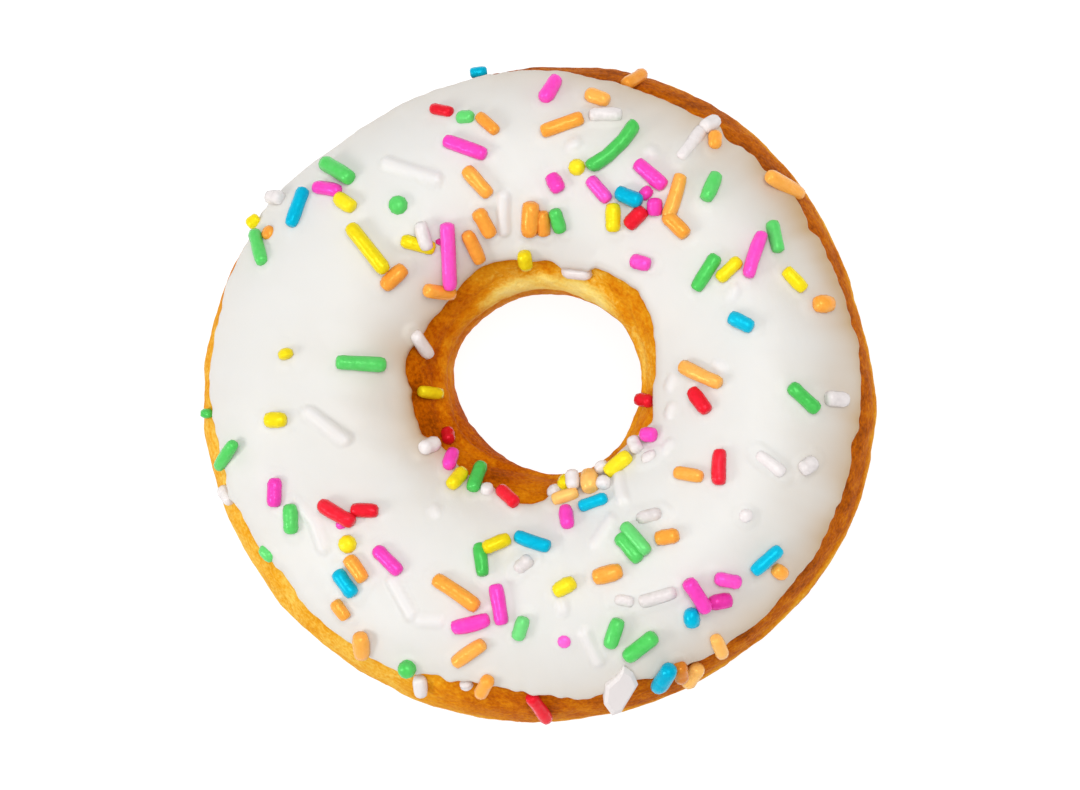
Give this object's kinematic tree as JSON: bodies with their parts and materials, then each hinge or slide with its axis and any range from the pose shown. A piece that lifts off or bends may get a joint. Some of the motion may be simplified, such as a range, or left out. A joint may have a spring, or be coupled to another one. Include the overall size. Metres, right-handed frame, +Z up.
{
  "type": "sprinkle frosted doughnut",
  "caption": "Fried ring doughnut with white sugar icing over its crown and coloured sugar sprinkles, standing flat on its underside.",
  "frame": {"origin": "on the table under the middle of the ring's bounding box", "axes": "+Z up through the hole, out of the iced crown; +X and +Y lie in the plane of the table, with the hole a little off the middle towards both"},
  "size_m": [0.0892, 0.086, 0.0296],
  "materials": {
    "fried_crust": "satin, finely wrinkled golden brown crust with a pale waist line",
    "sugar_icing": "smooth satin white sugar icing",
    "sugar_sprinkles": "waxed sugar rods, dyed pink, orange, green, yellow, red, blue and white"
  },
  "bodies": {
    "root": {"dough_ring": "fried_crust", "icing": "sugar_icing"}
  },
  "joints": []
}
